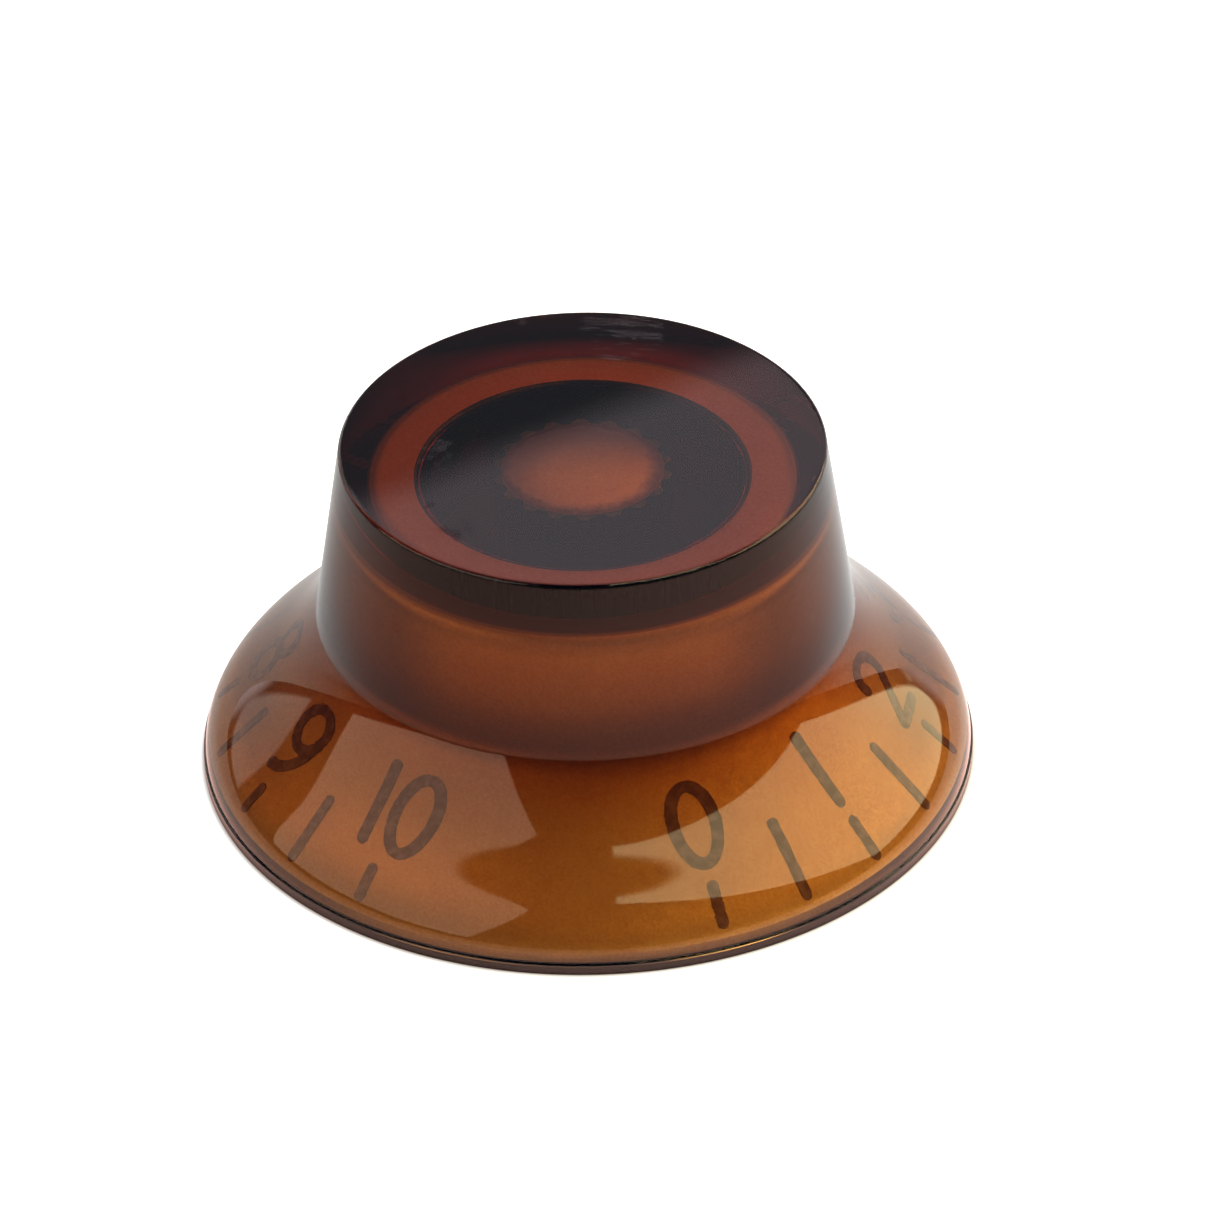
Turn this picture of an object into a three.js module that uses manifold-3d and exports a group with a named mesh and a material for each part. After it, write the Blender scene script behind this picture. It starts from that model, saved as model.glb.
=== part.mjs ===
// Bell-shaped control knob: a short tapered body on a flared skirt, moulded in clear amber
// plastic and pushed onto the knurled shaft of a rotary control.
//
// The 0 to 10 dial is printed in dark ink on the hidden face of the skirt. A gold lacquer
// sprayed inside the moulding lies behind the print, so that print and gold are both seen
// through the plastic. The real ink and lacquer are some 0.02 mm thick and touch the
// plastic: here each is a thicker solid standing a small gap off its neighbour.
//
// Millimetres, +Z up. The origin is the centre of the rim's underside, the shaft's bore
// runs along Z, and the blank part of the dial, between 10 and 0, faces -Y.

import * as THREE from "three";
import { mergeVertices } from "three/addons/utils/BufferGeometryUtils.js";
import Module from "manifold-3d";

const wasm = await Module();
wasm.setup();

const degrees = THREE.MathUtils.degToRad;

// The outer form
const HEIGHT = 12.3;
const TOP_RADIUS = 8.15;
const TOP_EDGE_ROUND = 0.14;
const CREASE_RADIUS = 9.05; // where the body's side meets the skirt
const CREASE_Z = 5.9;
const SKIRT_RADIUS = 12.94; // where the skirt meets the lip
const SKIRT_TOP_SLOPE = degrees(66.5); // below the horizontal, at the crease
const SKIRT_TOP_PULL = 3.12; // how far the curve holds that slope
const SKIRT_FOOT_SLOPE = degrees(89);
const SKIRT_FOOT_PULL = 1.76;
const LIP_RADIUS = 13.0;
const LIP_HEIGHT = 0.42;
const LIP_EDGE_ROUND = 0.06;

// The inside
const WALL = 1.25; // the middle of the skirt
const KNEE_WALL = 2.0; // the skirt at the crease
const KNEE_END = 0.45; // how far down the skirt's curve the extra thickness lasts
const FOOT_WALL = 0.75; // the skirt at the lip
const FOOT_START = 0.6; // where on the skirt's curve it starts to thin towards the lip
const KNEE_ROUND = 0.35;
const INNER_RADIUS = 7.2; // the upright wall under the body's side
const CEILING_Z = 9.8;
const CEILING_CORNER_ROUND = 0.4;
const BOSS_ROOT_RADIUS = 5.37;
const BOSS_ROOT_ROUND = 0.3;
const BOSS_END_RADIUS = 5.2;
const BOSS_END_Z = 3.0; // leaves room under the skirt for the control's bush and nut
const BOSS_END_ROUND = 0.2;
const BORE_END_Z = 10.3; // at the wall of the bore
const BORE_END_RISE = 0.25; // how much higher the domed end is in the middle
const SPLINE_TEETH = 18; // fits a 6 mm knurled shaft
const SPLINE_TIP_RADIUS = 2.74;
const SPLINE_ROOT_RADIUS = 3.0;
const BORE_MOUTH_RADIUS = 3.4;
const BORE_MOUTH_DEPTH = 0.5;

// The lacquer and the ink
const INK_GAP = 0.04;
const INK_THICKNESS = 0.04;
const LACQUER_GAP = 0.12; // clears the ink
const LACQUER_THICKNESS = 0.12;
const LACQUER_EDGE_Z = 0.15; // bare plastic below this height
const BORE_LACQUER_RADIUS = 2.6;

// The dial. Heights on the skirt are lengths along its hidden face, down from the crease.
const DIAL_MAX = 10;
const DIAL_ZERO = degrees(30); // from -Y, counter-clockwise as seen from above
const DIAL_STEP = degrees(30); // 300 degrees of travel in all
const STROKE = 0.42;
const DIGIT_WIDTH = 1.42; // between the centres of the strokes
const DIGIT_HEIGHT = 2.78;
const DIGIT_FOOT = 4.42;
const TEN_ONE_OFFSET = -0.84;
const TEN_ZERO_OFFSET = 0.58;
const MARK_WIDTH = 0.39;
const MARK_HEAD = 5.2;
const HALF_MARK_HEAD = 3.9;
const MARK_FOOT = 6.41;

// The print sits a little askew: it is highest under the 1 and drops away from there.
const PRINT_HIGH_SIDE = degrees(60);
const PRINT_DROP = 0.32; // a quarter of the way round

// How finely curves are cut into flats
const SEGMENTS_ROUND = 72;
const SEGMENTS_SKIRT = 9;
const SEGMENTS_CORNER = 2;
const SEGMENTS_DOME = 4;
const SEGMENTS_STROKE_END = 4;
const STROKE_STEP = 0.45;
const LONGEST_INK_EDGE = 0.7;

// ---------------------------------------------------------------- materials

const amberPlastic = new THREE.MeshStandardMaterial({
  color: 0xb4601a,
  roughness: 0.08,
  metalness: 0,
  transparent: true,
  opacity: 0.55,
});
const goldLacquer = new THREE.MeshStandardMaterial({
  color: 0xd08a3a,
  roughness: 0.35,
  metalness: 0.8,
});
const dialInk = new THREE.MeshStandardMaterial({
  color: 0x3a231c,
  roughness: 0.6,
  metalness: 0,
});

// ---------------------------------------------------------------- solids

// A geometry as a solid that can be joined to and cut by others.
function solidOf(geometry) {
  const bare = geometry.clone();
  bare.deleteAttribute("normal");
  bare.deleteAttribute("uv");
  const merged = mergeVertices(bare);
  const mesh = new wasm.Mesh({
    numProp: 3,
    vertProperties: merged.attributes.position.array,
    triVerts: new Uint32Array(merged.index.array),
  });
  return new wasm.Manifold(mesh);
}

function geometryOf(solid) {
  const mesh = solid.getMesh();
  const geometry = new THREE.BufferGeometry();
  geometry.setAttribute("position", new THREE.BufferAttribute(mesh.vertProperties, 3));
  geometry.setIndex(new THREE.BufferAttribute(mesh.triVerts, 1));
  return geometry;
}

// Turns a profile of (radius, height) points about Z. It runs down the outside.
function turned(profile) {
  const points = [...profile].reverse();
  return new THREE.LatheGeometry(points, SEGMENTS_ROUND).rotateX(Math.PI / 2);
}

function namedMesh(name, geometry, material) {
  const faceted = geometry.index ? geometry.toNonIndexed() : geometry;
  faceted.computeVertexNormals();
  const mesh = new THREE.Mesh(faceted, material);
  mesh.name = name;
  return mesh;
}

// ---------------------------------------------------------------- profiles

const point = (radius, height) => new THREE.Vector2(radius, height);

// Points on a circular arc, from one angle to another, both ends included.
function arc(centre, radius, from, to, segments) {
  return Array.from({ length: segments + 1 }, (_, i) => {
    const angle = from + ((to - from) * i) / segments;
    return point(centre.x + radius * Math.cos(angle), centre.y + radius * Math.sin(angle));
  });
}

// The skirt's outer face, from the crease down to the lip.
const skirtCurve = new THREE.CubicBezierCurve(
  point(CREASE_RADIUS, CREASE_Z),
  point(
    CREASE_RADIUS + SKIRT_TOP_PULL * Math.cos(SKIRT_TOP_SLOPE),
    CREASE_Z - SKIRT_TOP_PULL * Math.sin(SKIRT_TOP_SLOPE),
  ),
  point(
    SKIRT_RADIUS - SKIRT_FOOT_PULL * Math.cos(SKIRT_FOOT_SLOPE),
    LIP_HEIGHT + SKIRT_FOOT_PULL * Math.sin(SKIRT_FOOT_SLOPE),
  ),
  point(SKIRT_RADIUS, LIP_HEIGHT),
);

// The skirt's thickness at a place on its curve, from 0 at the crease to 1 at the lip.
function skirtWall(t) {
  const knee = Math.max(0, 1 - t / KNEE_END) ** 2;
  const foot = Math.max(0, (t - FOOT_START) / (1 - FOOT_START)) ** 2;
  return WALL + (KNEE_WALL - WALL) * knee + (FOOT_WALL - WALL) * foot;
}

// The skirt's hidden face, or a face this deep into the hollow.
class InsideSkirt extends THREE.Curve {
  constructor(depth) {
    super();
    this.depth = depth;
  }

  getPoint(t, target = new THREE.Vector2()) {
    const distance = skirtWall(t) + this.depth;
    const along = skirtCurve.getTangent(t);
    target.copy(skirtCurve.getPoint(t));
    target.x += along.y * distance;
    target.y -= along.x * distance;
    return target;
  }
}

// The hidden face from the ceiling's corner to the skirt's foot, or a face this deep.
function hiddenFace(depth) {
  const corner = point(INNER_RADIUS - CEILING_CORNER_ROUND, CEILING_Z - CEILING_CORNER_ROUND);
  const [knee, ...skirt] = new InsideSkirt(depth).getPoints(SEGMENTS_SKIRT);
  const wallEnd = point(INNER_RADIUS - depth, knee.y + KNEE_ROUND);
  return [
    ...arc(corner, CEILING_CORNER_ROUND - depth, Math.PI / 2, 0, SEGMENTS_CORNER),
    ...new THREE.QuadraticBezierCurve(wallEnd, knee, skirt[0]).getPoints(SEGMENTS_CORNER),
    ...skirt.slice(1),
  ];
}

// The domed end of the bore, from its middle to a radius, or a face this far below it.
function boreEnd(radius, below) {
  return Array.from({ length: SEGMENTS_DOME + 1 }, (_, i) => {
    const r = (radius * i) / SEGMENTS_DOME;
    const rise = BORE_END_RISE * (1 - (r / SPLINE_TIP_RADIUS) ** 2);
    return point(r, BORE_END_Z + rise - below);
  });
}

// ---------------------------------------------------------------- the moulding

// The outer faces, from the middle of the top to the inner edge of the rim.
function outerFaces() {
  const sideTilt = Math.atan2(CREASE_RADIUS - TOP_RADIUS, HEIGHT - CREASE_Z);
  const topCorner = point(TOP_RADIUS - TOP_EDGE_ROUND, HEIGHT - TOP_EDGE_ROUND);
  const lipCorner = point(LIP_RADIUS - LIP_EDGE_ROUND, LIP_EDGE_ROUND);
  return [
    point(0, HEIGHT),
    ...arc(topCorner, TOP_EDGE_ROUND, Math.PI / 2, sideTilt, SEGMENTS_CORNER),
    ...skirtCurve.getPoints(SEGMENTS_SKIRT),
    point(LIP_RADIUS, LIP_HEIGHT),
    ...arc(lipCorner, LIP_EDGE_ROUND, 0, -Math.PI / 2, SEGMENTS_CORNER),
  ];
}

// The solid boss, from its root on the ceiling to the middle of its end.
function bossFaces() {
  const root = point(BOSS_ROOT_RADIUS + BOSS_ROOT_ROUND, CEILING_Z - BOSS_ROOT_ROUND);
  const end = point(BOSS_END_RADIUS - BOSS_END_ROUND, BOSS_END_Z + BOSS_END_ROUND);
  return [
    ...arc(root, BOSS_ROOT_ROUND, Math.PI / 2, Math.PI, SEGMENTS_CORNER),
    ...arc(end, BOSS_END_ROUND, 0, -Math.PI / 2, SEGMENTS_CORNER),
    point(0, BOSS_END_Z),
  ];
}

// The blind splined bore, with a lead-in at its mouth, as the solid to be cut away.
function boreCutter() {
  const outline = Array.from({ length: 2 * SPLINE_TEETH }, (_, i) => {
    const radius = i % 2 ? SPLINE_TIP_RADIUS : SPLINE_ROOT_RADIUS;
    const angle = (Math.PI * i) / SPLINE_TEETH;
    return point(radius * Math.cos(angle), radius * Math.sin(angle));
  });
  const below = 1; // starts clear of the boss's end
  const splines = new THREE.ExtrudeGeometry(new THREE.Shape(outline), {
    depth: BORE_END_Z - BOSS_END_Z + below,
    bevelEnabled: false,
  }).translate(0, 0, BOSS_END_Z - below);
  const leadIn = turned([
    point(0, BOSS_END_Z + BORE_MOUTH_DEPTH),
    point(SPLINE_TIP_RADIUS, BOSS_END_Z + BORE_MOUTH_DEPTH),
    point(BORE_MOUTH_RADIUS, BOSS_END_Z),
    point(BORE_MOUTH_RADIUS, BOSS_END_Z - below),
    point(0, BOSS_END_Z - below),
  ]);
  const end = turned([
    ...boreEnd(SPLINE_TIP_RADIUS, 0),
    point(SPLINE_TIP_RADIUS, BORE_END_Z - 1),
    point(0, BORE_END_Z - 1),
  ]);
  return solidOf(splines).add(solidOf(leadIn)).add(solidOf(end));
}

function mouldedShell() {
  const skirtFoot = new InsideSkirt(0).getPoint(1);
  const profile = [
    ...outerFaces(),
    point(skirtFoot.x, 0),
    ...hiddenFace(0).reverse(),
    ...bossFaces(),
  ];
  return geometryOf(solidOf(turned(profile)).subtract(boreCutter()));
}

// ---------------------------------------------------------------- the lacquer

// One film over the ceiling, the wall and the skirt. It starts at the foot of the boss,
// whose sides stay bare, and stops short of the rim.
function lacquerFilm() {
  const bossClearance = BOSS_ROOT_RADIUS + BOSS_ROOT_ROUND + LACQUER_GAP;
  const face = (depth) => {
    const facing = hiddenFace(depth);
    const foot = facing[facing.length - 1];
    return [point(bossClearance, CEILING_Z - depth), ...facing, point(foot.x, LACQUER_EDGE_Z)];
  };
  const film = [...face(LACQUER_GAP), ...face(LACQUER_GAP + LACQUER_THICKNESS).reverse()];
  return turned([...film, film[0].clone()]);
}

function boreEndLacquer() {
  return turned([
    ...boreEnd(BORE_LACQUER_RADIUS, LACQUER_GAP),
    ...boreEnd(BORE_LACQUER_RADIUS, LACQUER_GAP + LACQUER_THICKNESS).reverse(),
  ]);
}

// ---------------------------------------------------------------- the figures

// Each figure is a list of strokes on a box one wide, from -0.5 to 0.5, and one high.
const line = (...ends) => new THREE.Path(ends.map(([x, y]) => point(x, y)));

function bowl(x, y, radiusX, radiusY, from = 0, to = 360) {
  const path = new THREE.Path();
  path.absellipse(x, y, radiusX, radiusY, degrees(from), degrees(to), to < from);
  return path;
}

// The loop of a 6 with its tail rising from the loop's left side, or of a 9 turned about.
function loopAndTail(turn) {
  const at = (x, y) => [turn * x, 0.5 + turn * (y - 0.5)];
  const loop = bowl(...at(0, 0.3), 0.5, 0.3);
  const tail = new THREE.Path().moveTo(...at(-0.5, 0.3));
  tail.bezierCurveTo(...at(-0.5, 0.72), ...at(-0.15, 0.95), ...at(0.36, 1));
  return [loop, tail];
}

const FIGURES = [
  [bowl(0, 0.5, 0.5, 0.5)],
  [line([0, 0], [0, 1])],
  [bowl(0, 0.72, 0.5, 0.28, 190, -38), line([0.394, 0.548], [-0.5, 0]), line([-0.5, 0], [0.5, 0])],
  [bowl(-0.03, 0.76, 0.47, 0.24, 165, -90), bowl(-0.03, 0.26, 0.53, 0.26, 90, -165)],
  [line([0.22, 0], [0.22, 1]), line([0.22, 1], [-0.5, 0.3]), line([-0.5, 0.3], [0.5, 0.3])],
  [
    line([0.42, 1], [-0.36, 1]),
    line([-0.36, 1], [-0.42, 0.54]),
    bowl(-0.04, 0.32, 0.54, 0.32, 135, -150),
  ],
  loopAndTail(1),
  [line([-0.5, 1], [0.5, 1]), line([0.5, 1], [-0.15, 0])],
  [bowl(0, 0.76, 0.43, 0.24), bowl(0, 0.26, 0.5, 0.26)],
  loopAndTail(-1),
];

// ---------------------------------------------------------------- ink on the skirt

// The outline of a stroke: a band of even width with round ends, or a ring.
function strokeShape(path, width) {
  const length = path.getLength();
  const count = Math.max(1, Math.round(length / STROKE_STEP));
  const closed = path.getPoint(0).distanceTo(path.getPoint(1)) < width / 10;
  const centres = path.getSpacedPoints(closed ? Math.max(count, 16) : count);
  const side = (sign) =>
    centres.map((centre, i) => {
      const along = path.getTangentAt(i / (centres.length - 1));
      return point(centre.x - (sign * along.y * width) / 2, centre.y + (sign * along.x * width) / 2);
    });
  if (closed) {
    const ring = new THREE.Shape(side(-1).slice(0, -1));
    ring.holes.push(new THREE.Path(side(1).slice(0, -1)));
    return ring;
  }
  const end = (centre, along, turn) => {
    const angle = Math.atan2(along.y, along.x) + turn;
    const start = angle - Math.PI / 2;
    return arc(centre, width / 2, start, start + Math.PI, SEGMENTS_STROKE_END).slice(1, -1);
  };
  return new THREE.Shape([
    ...side(-1),
    ...end(centres[centres.length - 1], path.getTangentAt(1), 0),
    ...side(1).reverse(),
    ...end(centres[0], path.getTangentAt(0), Math.PI),
  ]);
}

// Halves every edge longer than the limit. Both triangles on an edge halve it at the same
// vertex, so the surface stays closed.
function subdivided(geometry, longest) {
  const source = geometry.attributes.position;
  const vertices = Array.from({ length: source.count }, (_, i) =>
    new THREE.Vector3().fromBufferAttribute(source, i),
  );
  const middles = new Map();
  const middle = (a, b) => {
    const key = Math.min(a, b) + "-" + Math.max(a, b);
    if (!middles.has(key)) {
      middles.set(key, vertices.length);
      vertices.push(vertices[a].clone().lerp(vertices[b], 0.5));
    }
    return middles.get(key);
  };
  const sideLength = ([a, b]) => vertices[a].distanceTo(vertices[b]);
  const split = ([a, b, c]) => {
    const sides = [[a, b, c], [b, c, a], [c, a, b]].sort((s, t) => sideLength(t) - sideLength(s));
    const [p, q, r] = sides[0];
    if (sideLength(sides[0]) <= longest) return [[a, b, c]];
    const m = middle(p, q);
    return [...split([p, m, r]), ...split([m, q, r])];
  };
  const triangles = [];
  for (let i = 0; i < geometry.index.count; i += 3) {
    triangles.push(...split([0, 1, 2].map((corner) => geometry.index.getX(i + corner))));
  }
  return new THREE.BufferGeometry().setFromPoints(vertices).setIndex(triangles.flat());
}

const hiddenSkirt = new InsideSkirt(0);
const hiddenSkirtLength = hiddenSkirt.getLength();

// Wraps flat ink onto the hidden face of the skirt. x runs round the skirt from the given
// angle, y runs up it from `foot`, and z runs through the ink towards the plastic.
function wrapped(geometry, angle, foot) {
  const at = geometry.attributes.position;
  for (let i = 0; i < at.count; i++) {
    const along = (foot - at.getY(i)) / hiddenSkirtLength;
    const onFace = hiddenSkirt.getPointAt(along);
    const slope = hiddenSkirt.getTangentAt(along);
    const turn = angle - Math.PI / 2 + at.getX(i) / onFace.x;
    const depth = INK_GAP + INK_THICKNESS - at.getZ(i);
    const radius = onFace.x + slope.y * depth;
    const height = onFace.y - slope.x * depth;
    at.setXYZ(i, radius * Math.cos(turn), radius * Math.sin(turn), height);
  }
  return geometry;
}

// One printed character or mark: its strokes joined flat, then wrapped onto the skirt.
function printed(name, paths, width, angle, foot) {
  const film = { depth: INK_THICKNESS, bevelEnabled: false };
  const joined = paths
    .map((path) => solidOf(new THREE.ExtrudeGeometry(strokeShape(path, width), film)))
    .reduce((whole, stroke) => whole.add(stroke));
  const geometry = subdivided(geometryOf(joined), LONGEST_INK_EDGE);
  return namedMesh(name, wrapped(geometry, angle, foot), dialInk);
}

// A figure's strokes scaled to its real width and height, and shifted sideways.
function scaledFigure(strokes, width, height, shift) {
  return strokes.map((stroke) => {
    const count = Math.max(1, Math.round((stroke.getLength() * height) / STROKE_STEP));
    const points = stroke.getSpacedPoints(stroke.curves[0].isLineCurve ? 1 : 2 * count);
    return new THREE.Path(points.map((p) => point(p.x * width + shift, p.y * height)));
  });
}

// How much lower than its highest place the print is at an angle.
function printDrop(angle) {
  return PRINT_DROP * (1 - Math.cos(angle - PRINT_HIGH_SIDE));
}

function printedMark(name, head, angle) {
  const length = MARK_FOOT - head - printDrop(angle);
  return printed(name, [line([0, 0], [0, length])], MARK_WIDTH, angle, MARK_FOOT);
}

function printedFigure(name, digit, angle, shift = 0) {
  const strokes = scaledFigure(FIGURES[digit], DIGIT_WIDTH, DIGIT_HEIGHT, shift);
  return printed(name, strokes, STROKE, angle, DIGIT_FOOT + printDrop(angle));
}

function dial() {
  const print = new THREE.Group();
  for (let number = 0; number <= DIAL_MAX; number++) {
    const angle = DIAL_ZERO + number * DIAL_STEP;
    print.add(printedMark(`mark_${number}`, MARK_HEAD, angle));
    if (number < DIAL_MAX) {
      print.add(printedMark(`half_mark_${number}`, HALF_MARK_HEAD, angle + DIAL_STEP / 2));
      print.add(printedFigure(`figure_${number}`, number, angle));
    } else {
      print.add(printedFigure("figure_10_one", 1, angle, TEN_ONE_OFFSET));
      print.add(printedFigure("figure_10_zero", 0, angle, TEN_ZERO_OFFSET));
    }
  }
  return print;
}

// ---------------------------------------------------------------- the knob

const knob = new THREE.Group();
knob.add(namedMesh("amber_shell", mouldedShell(), amberPlastic));
knob.add(namedMesh("gold_lining", lacquerFilm(), goldLacquer));
knob.add(namedMesh("gold_bore_end", boreEndLacquer(), goldLacquer));
knob.add(dial());

export default knob;
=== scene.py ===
"""A bell-shaped control knob in clear amber plastic, lined with gold lacquer.

The moulding, the lacquer and the printed dial are rebuilt here as fine meshes inside the
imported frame. Light enters the plastic, is tinted on its way through it, and comes back off
the lacquer, so the gold and the print are seen by refraction, as on the real knob.

Lengths in the sizes below are millimetres and angles are degrees. Azimuths turn
counter-clockwise as seen from above, from -Y. Depths are measured from the moulding's
hidden face into the hollow, so a negative depth is inside the plastic.
"""

import math
from collections import namedtuple

import bmesh
import bpy
import numpy as np
from mathutils import Matrix, Vector, noise


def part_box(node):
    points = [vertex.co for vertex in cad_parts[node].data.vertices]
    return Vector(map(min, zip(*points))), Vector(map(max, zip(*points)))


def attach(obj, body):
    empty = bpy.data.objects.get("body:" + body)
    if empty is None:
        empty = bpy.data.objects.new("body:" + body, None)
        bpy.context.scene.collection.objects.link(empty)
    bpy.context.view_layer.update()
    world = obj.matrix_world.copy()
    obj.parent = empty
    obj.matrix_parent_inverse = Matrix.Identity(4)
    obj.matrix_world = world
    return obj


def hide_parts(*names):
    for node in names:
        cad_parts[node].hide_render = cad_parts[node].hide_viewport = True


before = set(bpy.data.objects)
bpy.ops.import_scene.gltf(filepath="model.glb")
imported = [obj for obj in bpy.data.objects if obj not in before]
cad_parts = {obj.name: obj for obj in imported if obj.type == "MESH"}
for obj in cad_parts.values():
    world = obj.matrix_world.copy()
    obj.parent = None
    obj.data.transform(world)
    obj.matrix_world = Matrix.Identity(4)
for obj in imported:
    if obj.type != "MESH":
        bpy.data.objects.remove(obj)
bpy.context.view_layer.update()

MM = 0.001


def box_mm(node):
    """The lowest and highest corner of a CAD node, in millimetres."""
    low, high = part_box(node)
    return low / MM, high / MM


# ---------------------------------------------------------------- sizes from the frame

SHELL_HIGH = box_mm("amber_shell")[1]
LINING_LOW, LINING_HIGH = box_mm("gold_lining")
FILM_GAP = 0.12  # the frame's films stand this far off the plastic

HEIGHT = SHELL_HIGH.z
LIP_RADIUS = SHELL_HIGH.x
CEILING_Z = LINING_HIGH.z + FILM_GAP
LACQUER_EDGE_Z = LINING_LOW.z
BORE_TOP_Z = box_mm("gold_bore_end")[1].z + FILM_GAP

# ---------------------------------------------------------------- sizes of the moulding

TOP_RADIUS = 8.15
CREASE_RADIUS = 9.05  # where the body's side meets the skirt
CREASE_Z = 5.9
SKIRT_RADIUS = 12.94  # where the skirt meets the lip
SKIRT_TOP_SLOPE = 66.5  # below the horizontal, at the crease
SKIRT_TOP_PULL = 3.12
SKIRT_FOOT_SLOPE = 89
SKIRT_FOOT_PULL = 1.76
LIP_HEIGHT = 0.42
WALL = 1.25  # the middle of the skirt
KNEE_WALL = 2.0  # the skirt at the crease
KNEE_END = 0.45  # how far down the skirt's curve the extra thickness lasts
FOOT_WALL = 0.75  # the skirt at the lip
FOOT_START = 0.6  # where on the skirt's curve it starts to thin towards the lip
KNEE_ROUND = 0.35  # how far above the skirt's face the inner wall starts to curve out
INNER_RADIUS = 7.2  # the upright wall under the body's side

# How far each corner is cut back to round it.
TOP_EDGE_ROUND = 0.13
CREASE_ROUND = 0.06
SKIRT_FOOT_ROUND = 0.01
LIP_ROUND = 0.05
RIM_ROUND = 0.07
RIM_INNER_ROUND = 0.05
CEILING_CORNER_ROUND = 0.4
BOSS_ROOT_ROUND = 0.3
BOSS_END_ROUND = 0.2
BORE_MOUTH_ROUND = 0.04

BOSS_RADIUS = 5.37
BOSS_END_RADIUS = 5.2
BOSS_END_Z = 3.0
BORE_MOUTH_RADIUS = 3.4
BORE_MOUTH_DEPTH = 0.5
BORE_END_RISE = 0.25  # the bore's end is domed, this much higher in the middle
SPLINE_TEETH = 18
SPLINE_TIP_RADIUS = 2.74
SPLINE_ROOT_RADIUS = 3.0
SPLINE_SHARPNESS = 1.5  # 1 gives a plain wave, more gives flatter teeth
SPLINE_LEAD = 0.1  # the splines start this far above the mouth
SPLINE_TOP_GAP = 0.02  # the splines end this far below the bore's end
SPLINE_TOP_STEP = 0.01  # and step in by this much

# ---------------------------------------------------------------- sizes of the films

LACQUER_FRONT = -0.03  # wets the plastic, so no air lies between
LACQUER_BACK = 0.05
BARE_ROUND_BOSS = 0.28
LACQUER_START_RADIUS = BOSS_RADIUS + BARE_ROUND_BOSS
BORE_LACQUER_RADIUS = 2.72
BORE_LACQUER_POOL = 2  # how many times as thick it is in its middle
INK_FRONT = -0.06
INK_BACK = -0.035

DIAL_ZERO = 30  # azimuth of the 0
DIAL_STEP = 30
DIAL_MAX = 10
STROKE = 0.42
DIGIT_WIDTH = 1.42  # between the centres of the strokes
DIGIT_HEIGHT = 2.78
DIGIT_FOOT = 4.42  # lengths along the hidden face, down from the crease
TEN_ONE_OFFSET = -0.84
TEN_ZERO_OFFSET = 0.58
MARK_WIDTH = 0.39
MARK_HEAD = 5.2  # lengths along the hidden face again
HALF_MARK_HEAD = 3.9
MARK_FOOT = 6.41
PRINT_HIGH_SIDE = 60  # the print sits askew: highest at the 1
PRINT_DROP = 0.32  # a quarter of the way round from there
FINE_BLEED = 0.018
COARSE_BLEED = 0.016
SPREAD_BLEED = 0.22
SPREAD_START = 0.1

# ---------------------------------------------------------------- how fine the meshes are

SEGMENTS = SPLINE_TEETH * 14
FACE_SAMPLES = 1600  # the skirt's curve is worked out this finely, then thinned out
SKIRT_STEPS = 40
KNEE_STEPS = np.linspace(0.2, 1, 5)  # places on the curve from the wall into the skirt
ROUND_STEPS = 5
BORE_END_STEPS = 9
GUARD = 1.3  # how far beyond a rounded corner the guard points lie, in reaches
SHARP_ANGLE = 28
BOWL_POINTS = 37
TAIL_POINTS = 13
INK_CELL = 0.055
INK_MARGIN = 0.2
INK_CUT_LIMIT = 0.04  # keeps a cut off the ends of a cell's side
INK_SHARP_ANGLE = 50


# ---------------------------------------------------------------- curves


def bezier(points, t):
    """Points on a cubic Bezier curve at the parameters t."""
    a, b, c, d = (np.array(p, float) for p in points)
    t = t[:, None]
    return (1 - t) ** 3 * a + 3 * (1 - t) ** 2 * t * b + 3 * (1 - t) * t**2 * c + t**3 * d


def heading(slope, length):
    """A step of this length outwards and down, at a slope below the horizontal."""
    angle = math.radians(slope)
    return np.array([length * math.cos(angle), -length * math.sin(angle)])


def skirt_face(steps, depth=None):
    """(radius, height) points down the skirt's outer face.

    With a depth they run down the hidden face instead, or down a face that far below it.
    The skirt is thickest at the crease and thinnest at the lip.
    """
    top = np.array([CREASE_RADIUS, CREASE_Z])
    foot = np.array([SKIRT_RADIUS, LIP_HEIGHT])
    pulls = [
        top,
        top + heading(SKIRT_TOP_SLOPE, SKIRT_TOP_PULL),
        foot - heading(SKIRT_FOOT_SLOPE, SKIRT_FOOT_PULL),
        foot,
    ]
    fine = np.linspace(0, 1, FACE_SAMPLES + 1)
    face = bezier(pulls, fine)
    if depth is not None:
        along = np.gradient(face, axis=0)
        along /= np.linalg.norm(along, axis=1)[:, None]
        knee = np.clip(1 - fine / KNEE_END, 0, None) ** 2
        foot_part = np.clip((fine - FOOT_START) / (1 - FOOT_START), 0, None) ** 2
        inside = WALL + (KNEE_WALL - WALL) * knee + (FOOT_WALL - WALL) * foot_part + depth
        face = face + inside[:, None] * np.stack([along[:, 1], -along[:, 0]], axis=1)
    return face[np.linspace(0, len(fine) - 1, steps + 1).astype(int)]


class HiddenSkirt:
    """The skirt's hidden face, followed by its length down from the crease."""

    def __init__(self):
        self.points = skirt_face(FACE_SAMPLES // 2, 0)
        steps = np.linalg.norm(np.diff(self.points, axis=0), axis=1)
        self.lengths = np.concatenate([[0], np.cumsum(steps)])
        self.along = np.gradient(self.points, axis=0)
        self.along /= np.linalg.norm(self.along, axis=1)[:, None]

    def at(self, length, depth):
        """(radius, height) at a length down the face and a depth into the hollow."""
        radius, height = (np.interp(length, self.lengths, self.points[:, k]) for k in (0, 1))
        out, up = (np.interp(length, self.lengths, self.along[:, k]) for k in (0, 1))
        return radius + up * depth, height - out * depth


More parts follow.
